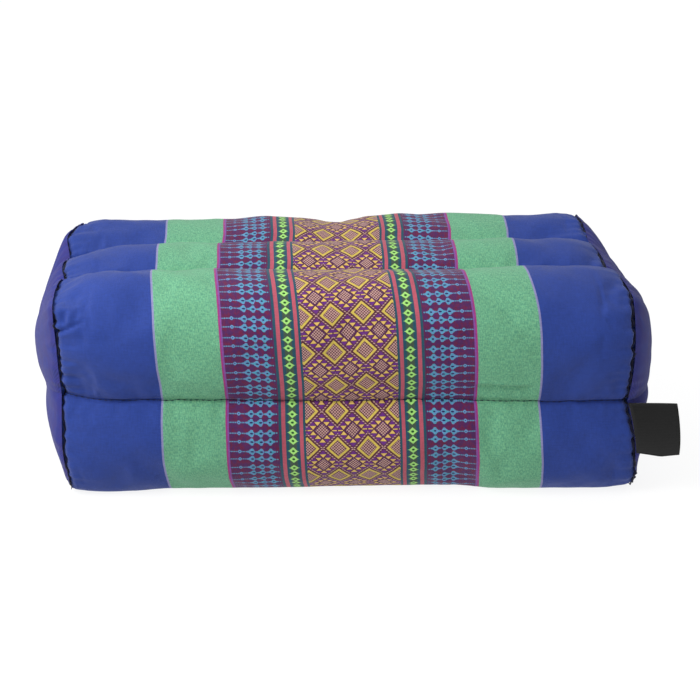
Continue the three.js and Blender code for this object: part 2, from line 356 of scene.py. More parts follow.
# Puckers of the cloth: their height, how many waves they have, and how far they reach from the sewing
Pucker = namedtuple("Pucker", "height waves reach")
STITCH_FINE = Pucker(0.34, 52, 5.0)
STITCH_BROAD = Pucker(0.4, 23, 9.0)
SEAM_FINE = Pucker(0.8, 70, 6.0)
SEAM_BROAD = Pucker(0.55, 31, 18.0)
PANEL_FINE = Pucker(0.55, 62, 5.0)
PANEL_BROAD = Pucker(0.6, 24, 16.0)
LUMP_HEIGHT = 0.55

# Along X, the front foot stands back, or forward below zero, and the front stitch line waves up and down
FOOT_AT = (-150, -115, -98, -80, -30, 0, 20, 45, 62, 72, 82, 100, 135, 150)
FOOT_BACK = (-4, -4, 1.5, 0.5, 1, 2.5, 3.5, 4, 4.5, 2.2, -3.7, -5.2, -5.2, -4)
FOOT_HEIGHT = 30.0
WAVE_AT = (-150, -137, -122, -112, -98, -80, -50, -20, 0, 20, 45, 60, 75, 90, 105, 125, 140, 150)
WAVE_UP = (0, 0, 0.8, 1.8, 2.0, 1.7, 1.2, 0.8, 0.6, 1.0, 1.5, 1.2, 0.6, 0.1, -0.5, -0.6, 0, 0)
WAVE_REACH = 24.0
SEAM_ROLL = 2.0


def uneven_wave(share, waves, seed):
    """Smooth uneven wave, about -1 to 1, that closes on itself as share goes from 0 to 1."""
    rng = np.random.default_rng(seed)
    total = np.zeros_like(share)
    for spread in (0.61, 0.83, 1.0, 1.27, 1.58):
        phase = rng.uniform(0, 2 * np.pi)
        total += np.sin(2 * np.pi * round(waves * spread) * share + phase)
    return total / 2.6


def crease_relief(x, up):
    relief = np.zeros_like(x)
    for crease in CREASES:
        start = np.array((crease.x_from, crease.up_from))
        line = np.array((crease.x_to, crease.up_to)) - start
        length = np.hypot(*line)
        along = ((x - start[0]) * line[0] + (up - start[1]) * line[1]) / length ** 2
        apart = ((x - start[0]) * line[1] - (up - start[1]) * line[0]) / length
        ends = smooth_step(along, -0.25, 0.2) * (1 - smooth_step(along, 0.65, 1.2))
        relief -= crease.depth * np.exp(-(apart / crease.width) ** 2) * ends
    return relief


def tuck_relief(x, up):
    """A small pleat above the front stitch line: the cloth below its edge lies deeper."""
    inside = smooth_step(x, TUCK["x_from"] - TUCK["fade"], TUCK["x_from"] + TUCK["fade"])
    inside = inside * (1 - smooth_step(x, TUCK["x_to"] - TUCK["fade"], TUCK["x_to"] + TUCK["fade"]))
    below = (1 - smooth_step(up, TUCK["up"] - 0.5, TUCK["up"] + 0.5)) * smooth_step(up, 0, TUCK["up"])
    lip = 0.5 * np.exp(-((up - TUCK["up"] - 1.6) / 1.3) ** 2)
    return inside * (lip - TUCK["depth"] * below)


def wrap_relief(form, x, seam_distance):
    """How far the wrap's cloth stands out of its plain section, for each ring and loop point."""
    girth_share = np.broadcast_to(form.run[:-1] / form.run[-1], x.shape)
    length_share = x / 400 + 0.5
    stitch = np.broadcast_to(form.stitch_distance(), x.shape)
    channel = np.broadcast_to(form.channel, x.shape)
    up = np.broadcast_to(form.up[0], x.shape)
    under_line = (up < 0) & (up > -GROOVE["front_reach"])
    groove = np.where(under_line, GROOVE["under_front_line"], GROOVE["elsewhere"])
    relief = -STITCH_PULL * np.exp(-stitch / groove)
    near_line = np.exp(-stitch / STITCH_FINE.reach) - np.exp(-stitch / GROOVE["line"])
    for number in range(len(CHANNELS)):
        broad = STITCH_BROAD.height * uneven_wave(length_share, STITCH_BROAD.waves, 30 + number)
        pucker = STITCH_FINE.height * uneven_wave(length_share, STITCH_FINE.waves, 10 + number)
        pucker += broad * np.exp(-stitch / STITCH_BROAD.reach)
        relief += np.where(channel == number, pucker * near_line, 0)
    left_side = x < 0
    for side, seed in ((left_side, 50), (~left_side, 60)):
        for number, pucker in enumerate((SEAM_FINE, SEAM_BROAD)):
            wave = pucker.height * uneven_wave(girth_share, pucker.waves, seed + number)
            relief += np.where(side, wave * np.exp(-seam_distance / pucker.reach), 0)
    relief -= SEAM_ROLL * np.exp(-(seam_distance / SEAM_ROLL) ** 2)
    lumps = uneven_wave(girth_share + 0.35 * length_share, 9, 70) * uneven_wave(length_share, 5, 71)
    lumps += 0.6 * uneven_wave(girth_share - 0.8 * length_share, 14, 72)
    relief += LUMP_HEIGHT * lumps * (1 - np.exp(-stitch / 9)) * (1 - np.exp(-seam_distance / 12))
    return relief + crease_relief(x, up) + tuck_relief(x, up)


def grid_normals(points):
    """Outward normals of a grid of rings that close around the girth."""
    around = np.roll(points, -1, axis=1) - np.roll(points, 1, axis=1)
    along = np.gradient(points, axis=0)
    normal = np.cross(around, along)
    return normal / np.linalg.norm(normal, axis=2, keepdims=True)


def wrap_ways(middle_rings, seam_rings, seam_share=0.86):
    """Signed shares of the way to the end seams, closer together near the seams."""
    middle = np.linspace(0, seam_share, middle_rings, endpoint=False)
    near = np.linspace(seam_share, 1, seam_rings)
    right = np.concatenate([middle, near])
    return np.concatenate([-right[:0:-1], right])


def plain_wrap(form, ways):
    rings = [form.ring("right" if way >= 0 else "left", abs(way)) for way in ways]
    points = np.array(rings)
    x = points[..., 0]
    low = 1 - smooth_step(points[..., 2], 0, FOOT_HEIGHT)
    front = np.clip(-points[..., 1] / HALF_DEPTH, 0, 1)
    points[..., 1] += np.interp(x, FOOT_AT, FOOT_BACK) * low * front ** 2
    near_line = np.exp(-(form.up[0] / WAVE_REACH) ** 2)
    points[..., 2] += np.interp(x, WAVE_AT, WAVE_UP) * near_line
    return points


def seam_distances(form, ways):
    reach = np.where((ways >= 0)[:, None], form.reach["right"], form.reach["left"])
    return (1 - np.abs(ways))[:, None] * reach


# Cloth settling of the wrap, held at its stitch lines and end seams

SETTLE_DENSITY = 0.42
SETTLE_FRAMES = 20
SETTLE_CAP = 2.2
COTTON = {
    "quality": 6, "mass": 0.2, "tension_stiffness": 25, "compression_stiffness": 25, "shear_stiffness": 8,
    "bending_stiffness": 0.4, "use_pressure": True,
}


def settled_offsets(settings):
    """How far the cloth moves, ring by ring, when the filling presses it out between the stitch lines."""
    form = CushionForm(SETTLE_DENSITY)
    ways = wrap_ways(34, 12)
    start = plain_wrap(form, ways)
    mesh = bpy.data.meshes.new("settling_wrap")
    mesh.from_pydata((start * MM).reshape(-1, 3), [], grid_faces(len(ways), form.count))
    piece = link_object("settling_wrap", mesh)
    fixed = np.zeros(start.shape[:2], bool)
    fixed[[0, -1], :] = True
    fixed[:, [form.places[row.start] for row in CHANNELS]] = True
    fixed |= start[..., 2] < 1.0
    held = piece.vertex_groups.new(name="held")
    held.add(np.flatnonzero(fixed).tolist(), 1.0, "REPLACE")
    cloth = piece.modifiers.new("Settle", "CLOTH")
    cloth.settings.vertex_group_mass = held.name
    for name, value in COTTON.items():
        setattr(cloth.settings, name, value)
    cloth.settings.uniform_pressure_force = settings.fill_pressure
    cloth.settings.shrink_min = -settings.spare_cloth
    cloth.settings.effector_weights.gravity = 0
    scene = bpy.context.scene
    for number in range(1, SETTLE_FRAMES + 1):
        scene.frame_set(number)
    settled = piece.evaluated_get(bpy.context.evaluated_depsgraph_get()).to_mesh()
    end = np.empty(start.size, np.float32)
    settled.vertices.foreach_get("co", end)
    piece.to_mesh_clear()
    bpy.data.objects.remove(piece)
    bpy.data.meshes.remove(mesh)
    scene.frame_set(1)
    moved = end.reshape(start.shape) / MM - start
    length = np.linalg.norm(moved, axis=2, keepdims=True)
    moved *= np.minimum(1, SETTLE_CAP / np.maximum(length, 1e-9))
    return form, ways, moved


def spread_offsets(form, ways, coarse_form, coarse_ways, coarse):
    """The settled offsets on a finer grid, smoothed."""
    along = np.empty((len(ways), coarse_form.count, 3))
    for place in range(coarse_form.count):
        for axis in range(3):
            along[:, place, axis] = np.interp(ways, coarse_ways, coarse[:, place, axis])
    fine = np.empty((len(ways), form.count, 3))
    share = form.run[:-1] / form.run[-1]
    coarse_share = coarse_form.run[:-1] / coarse_form.run[-1]
    for ring in range(len(ways)):
        for axis in range(3):
            fine[ring, :, axis] = np.interp(share, coarse_share, along[ring, :, axis], period=1)
    for _ in range(3):
        fine = (np.roll(fine, 1, axis=1) + 2 * fine + np.roll(fine, -1, axis=1)) / 4
        fine[1:-1] = (fine[:-2] + 2 * fine[1:-1] + fine[2:]) / 4
    return fine


# Meshes

def grid_faces(rings, count):
    """Quads between rings that close around the girth, facing out when the rings run along +X."""
    ring, place = np.meshgrid(np.arange(rings - 1), np.arange(count), indexing="ij")
    after = (place + 1) % count
    here = ring * count
    beyond = (ring + 1) * count
    corners = [here + place, here + after, beyond + after, beyond + place]
    return np.stack(corners, axis=-1).reshape(-1, 4).tolist()


def tip_faces(tip, first, count, outward):
    """Triangles from a tip to the ring that starts at first."""
    faces = []
    for place in range(count):
        after = first + (place + 1) % count
        here = first + place
        faces.append((tip, here, after) if outward else (tip, after, here))
    return faces


def link_object(name, mesh):
    piece = bpy.data.objects.new(name, mesh)
    bpy.context.scene.collection.objects.link(piece)
    return piece


def new_piece(name, points, faces, material):
    """A smooth piece from points in millimetres."""
    mesh = bpy.data.meshes.new(name)
    mesh.from_pydata(np.asarray(points) * MM, [], faces)
    mesh.polygons.foreach_set("use_smooth", np.ones(len(mesh.polygons), bool))
    mesh.materials.append(material)
    mesh.validate()
    mesh.update()
    return link_object(name, mesh)


def set_corner_map(piece, name, values):
    """A UV map from one (u, v) pair for each face corner."""
    layer = piece.data.uv_layers.new(name=name)
    layer.data.foreach_set("uv", np.asarray(values, np.float32).ravel())


def set_point_map(piece, name, values):
    """A UV map from one (u, v) pair for each vertex."""
    corner = np.empty(len(piece.data.loops), np.int32)
    piece.data.loops.foreach_get("vertex_index", corner)
    set_corner_map(piece, name, np.asarray(values)[corner])


def tube_rings(path, normals, radius, sides):
    """Rings of points around a path."""
    tangent = np.gradient(path, axis=0)
    tangent /= np.linalg.norm(tangent, axis=1, keepdims=True)
    side = np.cross(tangent, normals)
    side /= np.linalg.norm(side, axis=1, keepdims=True)
    lift = np.cross(side, tangent)
    angle = np.linspace(0, 2 * np.pi, sides, endpoint=False)
    offset = np.cos(angle)[None, :, None] * side[:, None] + np.sin(angle)[None, :, None] * lift[:, None]
    return path[:, None] + np.reshape(radius, (-1, 1, 1)) * offset


# Node building

class Term:
    """A number that changes over a surface, so that a pattern can be written as a formula."""

    def __init__(self, tree, socket):
        self.tree = tree
        self.socket = socket

    def math(self, operation, *others):
        node = self.tree.nodes.new("ShaderNodeMath")
        node.operation = operation
        for slot, value in zip(node.inputs, (self, *others)):
            wire(self.tree, value, slot)
        return Term(self.tree, node.outputs[0])

    def __add__(self, other):
        return self.math("ADD", other)

    def __sub__(self, other):
        return self.math("SUBTRACT", other)

    def __rsub__(self, other):
        return self.math("MULTIPLY_ADD", -1, other)

    def __mul__(self, other):
        return self.math("MULTIPLY", other)

    def __truediv__(self, other):
        return self.math("DIVIDE", other)

    def __abs__(self):
        return self.math("ABSOLUTE")

    __radd__ = __add__
    __rmul__ = __mul__

    def below(self, limit):
        return self.math("LESS_THAN", limit)

    def above(self, limit):
        return self.math("GREATER_THAN", limit)

    def between(self, low, high):
        return self.above(low) * self.below(high)

    def larger(self, other):
        return self.math("MAXIMUM", other)

    def smaller(self, other):
        return self.math("MINIMUM", other)

    def floor(self):
        return self.math("FLOOR")

    def fract(self):
        return self.math("FRACT")

    def wave(self):
        return self.math("SINE")

    def around(self, period):
        """Signed distance to the nearest multiple of a period."""
        return self.math("WRAP", period / 2, -period / 2)


def wire(tree, value, slot):
    if isinstance(value, Term):
        tree.links.new(value.socket, slot)
    elif isinstance(value, bpy.types.NodeSocket):
        tree.links.new(value, slot)
    else:
        slot.default_value = value


def paint(tree, under, over, mask):
    """Colour that is over where the mask is 1 and under where it is 0."""
    node = tree.nodes.new("ShaderNodeMix")
    node.data_type = "RGBA"
    wire(tree, mask, node.inputs[0])
    wire(tree, under, node.inputs[6])
    wire(tree, over, node.inputs[7])
    return node.outputs[2]


def shade(tree, colour, amount):
    """A colour multiplied by a number."""
    node = tree.nodes.new("ShaderNodeVectorMath")
    node.operation = "SCALE"
    wire(tree, colour, node.inputs[0])
    wire(tree, amount, node.inputs["Scale"])
    return node.outputs[0]


def noise(tree, across, along, detail=2.0):
    """Smooth noise of 0 to 1 over two coordinates."""
    place = tree.nodes.new("ShaderNodeCombineXYZ")
    wire(tree, across, place.inputs[0])
    wire(tree, along, place.inputs[1])
    node = tree.nodes.new("ShaderNodeTexNoise")
    node.inputs["Scale"].default_value = 1.0
    node.inputs["Detail"].default_value = detail
    tree.links.new(place.outputs[0], node.inputs["Vector"])
    return Term(tree, node.outputs[0])


def new_group(name, inputs, outputs):
    """An empty shader group. Returns its tree, its inputs as terms and its outputs as sockets."""
    tree = bpy.data.node_groups.new(name, "ShaderNodeTree")
    for label, default in inputs:
        socket = tree.interface.new_socket(name=label, in_out="INPUT", socket_type="NodeSocketFloat")
        socket.default_value = default
    for label in outputs:
        tree.interface.new_socket(name=label, in_out="OUTPUT", socket_type="NodeSocketFloat")
    source = tree.nodes.new("NodeGroupInput")
    sink = tree.nodes.new("NodeGroupOutput")
    terms = [Term(tree, source.outputs[label]) for label, _ in inputs]
    return tree, terms, sink.inputs


def use_group(tree, group, **values):
    """Places a group and returns its outputs as terms, by name. Input names have no spaces."""
    node = tree.nodes.new("ShaderNodeGroup")
    node.node_tree = group
    for label, value in values.items():
        wire(tree, value, node.inputs[label])
    return {output.name: Term(tree, output) for output in node.outputs}


def plain_weave_group():
    """Over and under yarns of a plain weave: their height, and how light each one looks, which is painted
    shade in the hollows between yarns mixed with a random tone of the yarns.
    """
    group = bpy.data.node_groups.get("Plain Weave")
    if group:
        return group
    inputs = (("Across", 0), ("Along", 0), ("Pitch", 0.6))
    tree, (across, along, pitch), sink = new_group("Plain Weave", inputs, ("Height", "Shade"))
    column = across / pitch
    row = along / pitch
    over = ((column.floor() + row.floor()) / 2).fract().above(0.25)
    warp = (column.fract() * math.pi).wave()
    weft = (row.fract() * math.pi).wave()
    height = over * warp + (1 - over) * weft
    uneven = noise(tree, across / 0.8, along / 4) * 0.5 + noise(tree, across / 4, along / 0.8) * 0.5
    wire(tree, height, sink["Height"])
    # Shade: the height term darkens the hollows between yarns as painted shade; the noise terms are the
    # yarns' own random tone
    wire(tree, height * 0.3 + uneven * 0.8 + 0.41, sink["Shade"])
    return tree


def twill_group():
    """Slanting ribs of a twill: their height, and how light each one looks, which is painted shade in the
    grooves between ribs mixed with a random tone of the yarns.
    """
    group = bpy.data.node_groups.get("Twill")
    if group:
        return group
    inputs = (("Across", 0), ("Along", 0), ("Pitch", 1.0))
    tree, (across, along, pitch), sink = new_group("Twill", inputs, ("Height", "Shade"))
    rib = ((across + along * 0.8) / pitch).fract()
    yarn = (along * 2.2 / pitch).fract()
    height = (rib * math.pi).wave() * (0.75 + (yarn * math.pi).wave() * 0.25)
    uneven = noise(tree, across / 1.2, along / 9) * 0.6 + noise(tree, across / 14, along / 14) * 0.4
    wire(tree, height, sink["Height"])
    # Shade: the height term darkens the grooves between ribs as painted shade; the noise terms are the
    # yarns' own random tone
    wire(tree, height * 0.4 + uneven * 0.7 + 0.4, sink["Shade"])
    return tree


def new_material(name, roughness, sheen):
    """A material with its shader, and the cloth coordinates in millimetres."""
    material = bpy.data.materials.new(name)
    material.use_nodes = True
    tree = material.node_tree
    shader = tree.nodes["Principled BSDF"]
    shader.inputs["Roughness"].default_value = roughness
    shader.inputs["Sheen Weight"].default_value = sheen
    shader.inputs["Sheen Roughness"].default_value = 0.45
    shader.inputs["Specular IOR Level"].default_value = 0.25
    place = tree.nodes.new("ShaderNodeUVMap")
    place.uv_map = "Cloth"
    parts = tree.nodes.new("ShaderNodeSeparateXYZ")
    tree.links.new(place.outputs[0], parts.inputs[0])
    across = Term(tree, parts.outputs[0])
    along = Term(tree, parts.outputs[1])
    return material, tree, shader, across, along


def raise_surface(tree, shader, height, depth):
    """Bump of a height, in millimetres of depth."""
    bump = tree.nodes.new("ShaderNodeBump")
    bump.inputs["Strength"].default_value = 0.6
    bump.inputs["Distance"].default_value = depth * MM
    wire(tree, height, bump.inputs["Height"])
    tree.links.new(bump.outputs[0], shader.inputs["Normal"])


# Woven pattern of the wrap, in millimetres from the middle of the bands

BAND_EDGE = {
    "gold": 25.2, "inner_line": 26.5, "inner_coral": 28.4, "leaf": 36.0, "outer_coral": 38.1,
    "outer_line": 39.6, "flowers": 66.2, "mauve": 67.1, "pink": 68.0, "mint": 101.3, "lavender": 102.4,
}
DIAMOND_PITCH = 16.35
ROW_PITCH = 20.56
YARN_PITCH = 0.63
CHECK_PITCH = 0.8
LARGE_DIAMOND = {"half_width": 8.17, "half_height": 8.5, "check": 0.52, "rim": 0.57, "outline": 0.78}
DOT_LINE = {"from": 0.94, "to": 1.04, "pitch": 1.15}
SMALL_DIAMOND = {"half_width": 4.5, "half_height": 4.8, "check": 0.84}
TRIANGLE = {"row": 2.15, "first_row": 0.45, "step": 2.4, "gold_at": 4.85, "purple_at": 7.4,
            "gold_half": 1.8, "purple_half": 1.8, "fill": 0.92}
DASH = {"from": 5.3, "to": 7.8, "half_height": 0.28}
MOTIF_SHIFT = 1.2
MOTIF_ROW = 2.85
LEAF_AT = 32.2
FLOWER_AT = (44.3, 49.5, 54.5)
DOT_AT = 60.9

COLOURS = (
    ("blue", (31, 55, 128), "Cloth of the outer bands"),
    ("mint", (107, 165, 126), "Light yarn of the green bands"),
    ("mint_dark", (75, 137, 110), "Dark yarn of the green bands"),
    ("lavender", (124, 122, 164), "Line beside the green bands"),
    ("pink", (142, 44, 112), "Outer half of the line beside the flowers"),
    ("mauve", (116, 64, 136), "Inner half of the line beside the flowers"),
    ("magenta", (93, 20, 59), "Red yarn behind the flowers"),
    ("plum", (69, 26, 80), "Purple yarn behind the flowers"),
    ("turquoise", (60, 144, 162), "Light yarn of the flowers"),
    ("periwinkle", (98, 124, 178), "Blue yarn of the flowers"),
    ("indigo", (28, 31, 77), "Heart of each flower"),
    ("teal", (27, 69, 86), "Dark lines and ground"),
    ("coral", (166, 76, 92), "Coral lines"),
    ("moss", (58, 74, 60), "Ground of the leaf diamonds"),
    ("stalk", (19, 71, 27), "Heart of the leaf diamonds"),
    ("leaf", (148, 202, 108), "Leaf diamonds"),
    ("gold", (204, 170, 92), "Triangles of the middle band"),
    ("yellow", (190, 168, 76), "Outline of the large diamonds"),
    ("purple", (91, 35, 115), "Triangles and small diamonds"),
    ("dark", (78, 35, 49), "Dark yarn of the middle band"),
    ("blush", (180, 144, 137), "Light yarn of the checks"),
)


def linear(red, green, blue):
    """Linear colour of an eight-bit display colour."""
    def channel(value):
        share = value / 255
        return share / 12.92 if share <= 0.04045 else ((share + 0.055) / 1.055) ** 2.4
    return channel(red), channel(green), channel(blue)


def with_alpha(colour):
    return (*colour, 1.0)


def gold_field(tree, across, along, colour):
    """Large checked diamonds in yellow, small ones in purple, and triangles between them."""
    small_u = abs(across.around(DIAMOND_PITCH))
    small_v = abs((along - ROW_PITCH / 2).around(ROW_PITCH))
    large_u = DIAMOND_PITCH / 2 - small_u
    large_v = ROW_PITCH / 2 - small_v
    large = large_u / LARGE_DIAMOND["half_width"] + large_v / LARGE_DIAMOND["half_height"]
    small = small_u / SMALL_DIAMOND["half_width"] + small_v / SMALL_DIAMOND["half_height"]
    parity = ((across / CHECK_PITCH).floor() + (along / CHECK_PITCH).floor()) / 2
    check = paint(tree, colour["dark"], colour["blush"], parity.fract().above(0.25))
    level = (small_v - TRIANGLE["first_row"]) / TRIANGLE["row"]
    row = level.floor()
    rise = level.fract()
    gold_apart = abs(small_u - (TRIANGLE["gold_at"] - row * TRIANGLE["step"]))
    purple_apart = abs(small_u - (TRIANGLE["purple_at"] - row * TRIANGLE["step"]))
    gold_triangle = gold_apart.below(rise * TRIANGLE["gold_half"]) * rise.below(TRIANGLE["fill"])
    purple_triangle = purple_apart.below((1 - rise) * TRIANGLE["purple_half"])
    field = paint(tree, colour["dark"], colour["purple"], purple_triangle)
    field = paint(tree, field, colour["gold"], gold_triangle * row.above(-0.5))
    dash = small_u.between(DASH["from"], DASH["to"]) * small_v.below(DASH["half_height"])
    field = paint(tree, field, colour["gold"], dash)
    field = paint(tree, field, colour["plum"], small.below(1))
    field = paint(tree, field, colour["dark"], large.below(DOT_LINE["to"]))
    dots = large.between(DOT_LINE["from"], DOT_LINE["to"]) * (along / DOT_LINE["pitch"]).fract().above(0.42)
    field = paint(tree, field, colour["blush"], dots)
    checked = small.below(SMALL_DIAMOND["check"]).larger(large.below(LARGE_DIAMOND["check"]))
    field = paint(tree, field, check, checked)
    outline = large.between(LARGE_DIAMOND["rim"], LARGE_DIAMOND["outline"])
    return paint(tree, field, colour["yellow"], outline)


def oval(across, along, half_width, half_height):
    """Mask of an oval about the place where both distances are 0."""
    u = across / half_width
    v = along / half_height
    return (u * u + v * v).below(1)


def flower_rows(tree, out, row, ground, colour):
    """Rows of ring flowers, dots and ticks on the ground of the magenta bands."""
    yarn = noise(tree, out / 0.8, row / 0.8)
    blue_share = ((yarn - 0.42) * 6).smaller(1)
    petal_colour = paint(tree, colour["turquoise"], colour["periwinkle"], blue_share)
    petals = oval(out - DOT_AT, row, 0.85, 1.0)
    hearts = oval(out - DOT_AT, row, 0.3, 0.3)
    for number, place in enumerate(FLOWER_AT):
        from_heart = out - place
        lean = 0.0 if number == 0 else 0.3
        petals = petals.larger(oval(from_heart, row, 1.75, 1.45))
        petals = petals.larger(oval(from_heart + lean, row - 1.4, 0.85, 0.6))
        petals = petals.larger(oval(from_heart - 1.95, row, 0.85, 0.55))
        if number == 0:
            petals = petals.larger(oval(from_heart + 1.95, row, 0.85, 0.55))
        hearts = hearts.larger(oval(from_heart + lean, row, 0.62 + lean, 0.5))
        petals = petals.larger(oval(from_heart + (3.5 if number == 0 else 2.3), row, 0.45, 0.4))
    dashes = (out / 0.9).fract().above(0.3) * row.below(0.33)
    petals = petals.larger(dashes * out.between(57.0, BAND_EDGE["flowers"]))
    field = paint(tree, ground, petal_colour, petals)
    return paint(tree, field, colour["indigo"], hearts)


def leaf_row(tree, out, row, colour):
    """A row of hollow leaf-green diamonds on a dark ground."""
    apart = abs(out - LEAF_AT)
    ground = paint(tree, colour["teal"], colour["moss"], apart.below(2.0))
    shape = (apart / 2.5 + row / 2.15).below(1).larger((apart / 3.1 + row / 0.7).below(1))
    field = paint(tree, ground, colour["leaf"], shape)
    return paint(tree, field, colour["stalk"], oval(apart, row, 0.8, 0.62))


def wrap_material(settings):
    """Woven cotton with its bands, mirrored about the middle one."""
    material, tree, shader, across, along = new_material("woven_cotton", 0.82, 0.13)
    colour = {name: with_alpha(getattr(settings, name)) for name, _, _ in COLOURS}
    out = abs(across)
    row = abs(abs((along - MOTIF_SHIFT).around(ROW_PITCH / 2)) - MOTIF_ROW)
    warp_streak = noise(tree, across / 0.45, along / 1.7, 1)
    weft_streak = noise(tree, across / 1.9, along / 0.45, 1)
    mint_mask = ((warp_streak - 0.5) * 3.2 + (weft_streak - 0.5) * 2.0 + 0.45).larger(0).smaller(1)
    mint = paint(tree, colour["mint"], colour["mint_dark"], mint_mask)
    red_mask = ((noise(tree, across / 2.2, along / 3.0, 3) - 0.47) * 5 + 0.5).larger(0).smaller(1)
    ground = paint(tree, colour["magenta"], colour["plum"], red_mask)
    bands = (
        ("outer_line", colour["teal"]),
        ("outer_coral", colour["coral"]),
        ("leaf", leaf_row(tree, out, row, colour)),
        ("inner_coral", colour["coral"]),
        ("inner_line", colour["teal"]),
        ("gold", gold_field(tree, across, along, colour)),
    )
    shown = paint(tree, colour["blue"], colour["lavender"], out.below(BAND_EDGE["lavender"]))
    shown = paint(tree, shown, mint, out.below(BAND_EDGE["mint"]))
    shown = paint(tree, shown, colour["pink"], out.below(BAND_EDGE["pink"]))
    shown = paint(tree, shown, colour["mauve"], out.below(BAND_EDGE["mauve"]))
    flowers = flower_rows(tree, out, row, ground, colour)
    shown = paint(tree, shown, flowers, out.below(BAND_EDGE["flowers"]))
    for edge, band_colour in bands:
        shown = paint(tree, shown, band_colour, out.below(BAND_EDGE[edge]))
    weave = use_group(tree, plain_weave_group(), Across=across, Along=along, Pitch=YARN_PITCH)
    tone = noise(tree, across / 45, along / 45) * 0.2 + 0.9
    # The weave's Shade darkens the base colour in the hollows between yarns (painted shade), together with
    # random yarn tone and the broad random tone
    wire(tree, shade(tree, shown, weave["Shade"] * tone), shader.inputs["Base Color"])
    wire(tree, 0.9 - weave["Height"] * 0.14, shader.inputs["Roughness"])
    raise_surface(tree, shader, weave["Height"], 0.16)
    return material


def panel_material(settings):
    """Violet-blue twill of the end panels."""
    material, tree, shader, across, along = new_material("end_twill", 0.85, 0.07)
    twill = use_group(tree, twill_group(), Across=across, Along=along, Pitch=settings.rib_pitch / MM)
    patch = ((noise(tree, across / 3.5, along / 9, 3) - 0.45) * 3 + 0.4).larger(0).smaller(1)
    yarn = paint(tree, with_alpha(settings.colour), with_alpha(settings.second_colour), patch)
    # The twill's Shade darkens the yarn colour in the grooves between ribs (painted shade), together with
    # random yarn tone
    wire(tree, shade(tree, yarn, twill["Shade"]), shader.inputs["Base Color"])
    wire(tree, 0.92 - twill["Height"] * 0.12, shader.inputs["Roughness"])
    raise_surface(tree, shader, twill["Height"], 0.2)
    return material


def thread_material(settings):
    """Dark twisted sewing thread."""
    material, tree, shader, across, along = new_material("sewing_thread", 0.7, 0.1)
    twill = use_group(tree, twill_group(), Across=across, Along=along, Pitch=0.8)
    # The twill's Shade darkens the thread colour in the grooves of its twist (painted shade), together with
    # random tone
    wire(tree, shade(tree, tuple(settings.colour), twill["Shade"]), shader.inputs["Base Color"])
    wire(tree, 0.8 - twill["Height"] * 0.2, shader.inputs["Roughness"])
    raise_surface(tree, shader, twill["Height"], 0.1)
    return material


def label_material(settings):
    """Black satin ribbon with fine cross ribs."""
    material, tree, shader, across, along = new_material("label_ribbon", 0.55, 0.1)
    weave = use_group(tree, plain_weave_group(), Across=across, Along=along, Pitch=0.45)
    rib = ((along / 0.9).fract() * math.pi).wave()
    # The ribbon colour is darkened in the grooves between the cross ribs and between the yarns: painted
    # shade, with the random yarn tone
    tone = weave["Shade"] * (rib * 0.25 + 0.8)
    wire(tree, shade(tree, tuple(settings.colour), tone), shader.inputs["Base Color"])
    wire(tree, 0.62 - rib * 0.14, shader.inputs["Roughness"])
    raise_surface(tree, shader, weave["Height"] * 0.4 + rib, 0.08)
    return material


# Settings a user would change

def colour_property(name, red, green, blue, description):
    return FloatVectorProperty(
        name=name, description=description, subtype="COLOR", size=3, min=0, max=1,
        default=linear(red, green, blue),
    )


class WrapSettings(PropertyGroup):
    """Sizes and yarn colours of the woven wrap."""

    fill_pressure: FloatProperty(
        name="Fill Pressure", description="How hard the filling presses on the cloth while it settles",
        default=0.6, min=0, max=20,
    )
    spare_cloth: FloatProperty(
        name="Spare Cloth", description="Share of extra cloth that is eased into the seams",
        default=0.012, min=0, max=0.1, subtype="FACTOR",
    )


for colour_name, levels, words in COLOURS:
    WrapSettings.__annotations__[colour_name] = colour_property(
        colour_name.replace("_", " ").title(), *levels, words)


class EndPanelSettings(PropertyGroup):
    """Sizes and colours of the twill end panels."""

    thickness: FloatProperty(
        name="Thickness", description="Thickness of the cloth with its turned seam",
        default=0.0016, unit="LENGTH",
    )
    rib_pitch: FloatProperty(
        name="Rib Pitch", description="Distance between the ribs of the twill",
        default=0.0012, unit="LENGTH",
    )
    colour: colour_property("Colour", 35, 44, 118, "Blue yarn of the twill")
    second_colour: colour_property("Second Colour", 47, 44, 110, "Violet yarn of the twill")


class ThreadSettings(PropertyGroup):
    """Sizes and colour of the sewing thread."""

    seam_radius: FloatProperty(
        name="Seam Radius", description="Half the width of the thread in the end seams",
        default=0.0005, unit="LENGTH",
    )
    stitch_radius: FloatProperty(
        name="Stitch Radius", description="Half the width of a stitch", default=0.0002, unit="LENGTH",
    )
    colour: colour_property("Colour", 14, 16, 42, "Dyed thread")


class LabelSettings(PropertyGroup):
    """Sizes and colour of the folded label."""

    height: FloatProperty(
        name="Height", description="Height of the ribbon", default=0.0303, unit="LENGTH",
    )
    reach: FloatProperty(
        name="Reach", description="How far the folded ribbon stands out of the seam",
        default=0.0245, unit="LENGTH",
    )
    ply: FloatProperty(
        name="Ply", description="Thickness of one layer of the ribbon", default=0.0004, unit="LENGTH",
    )
    colour: colour_property("Colour", 14, 14, 14, "Ribbon")


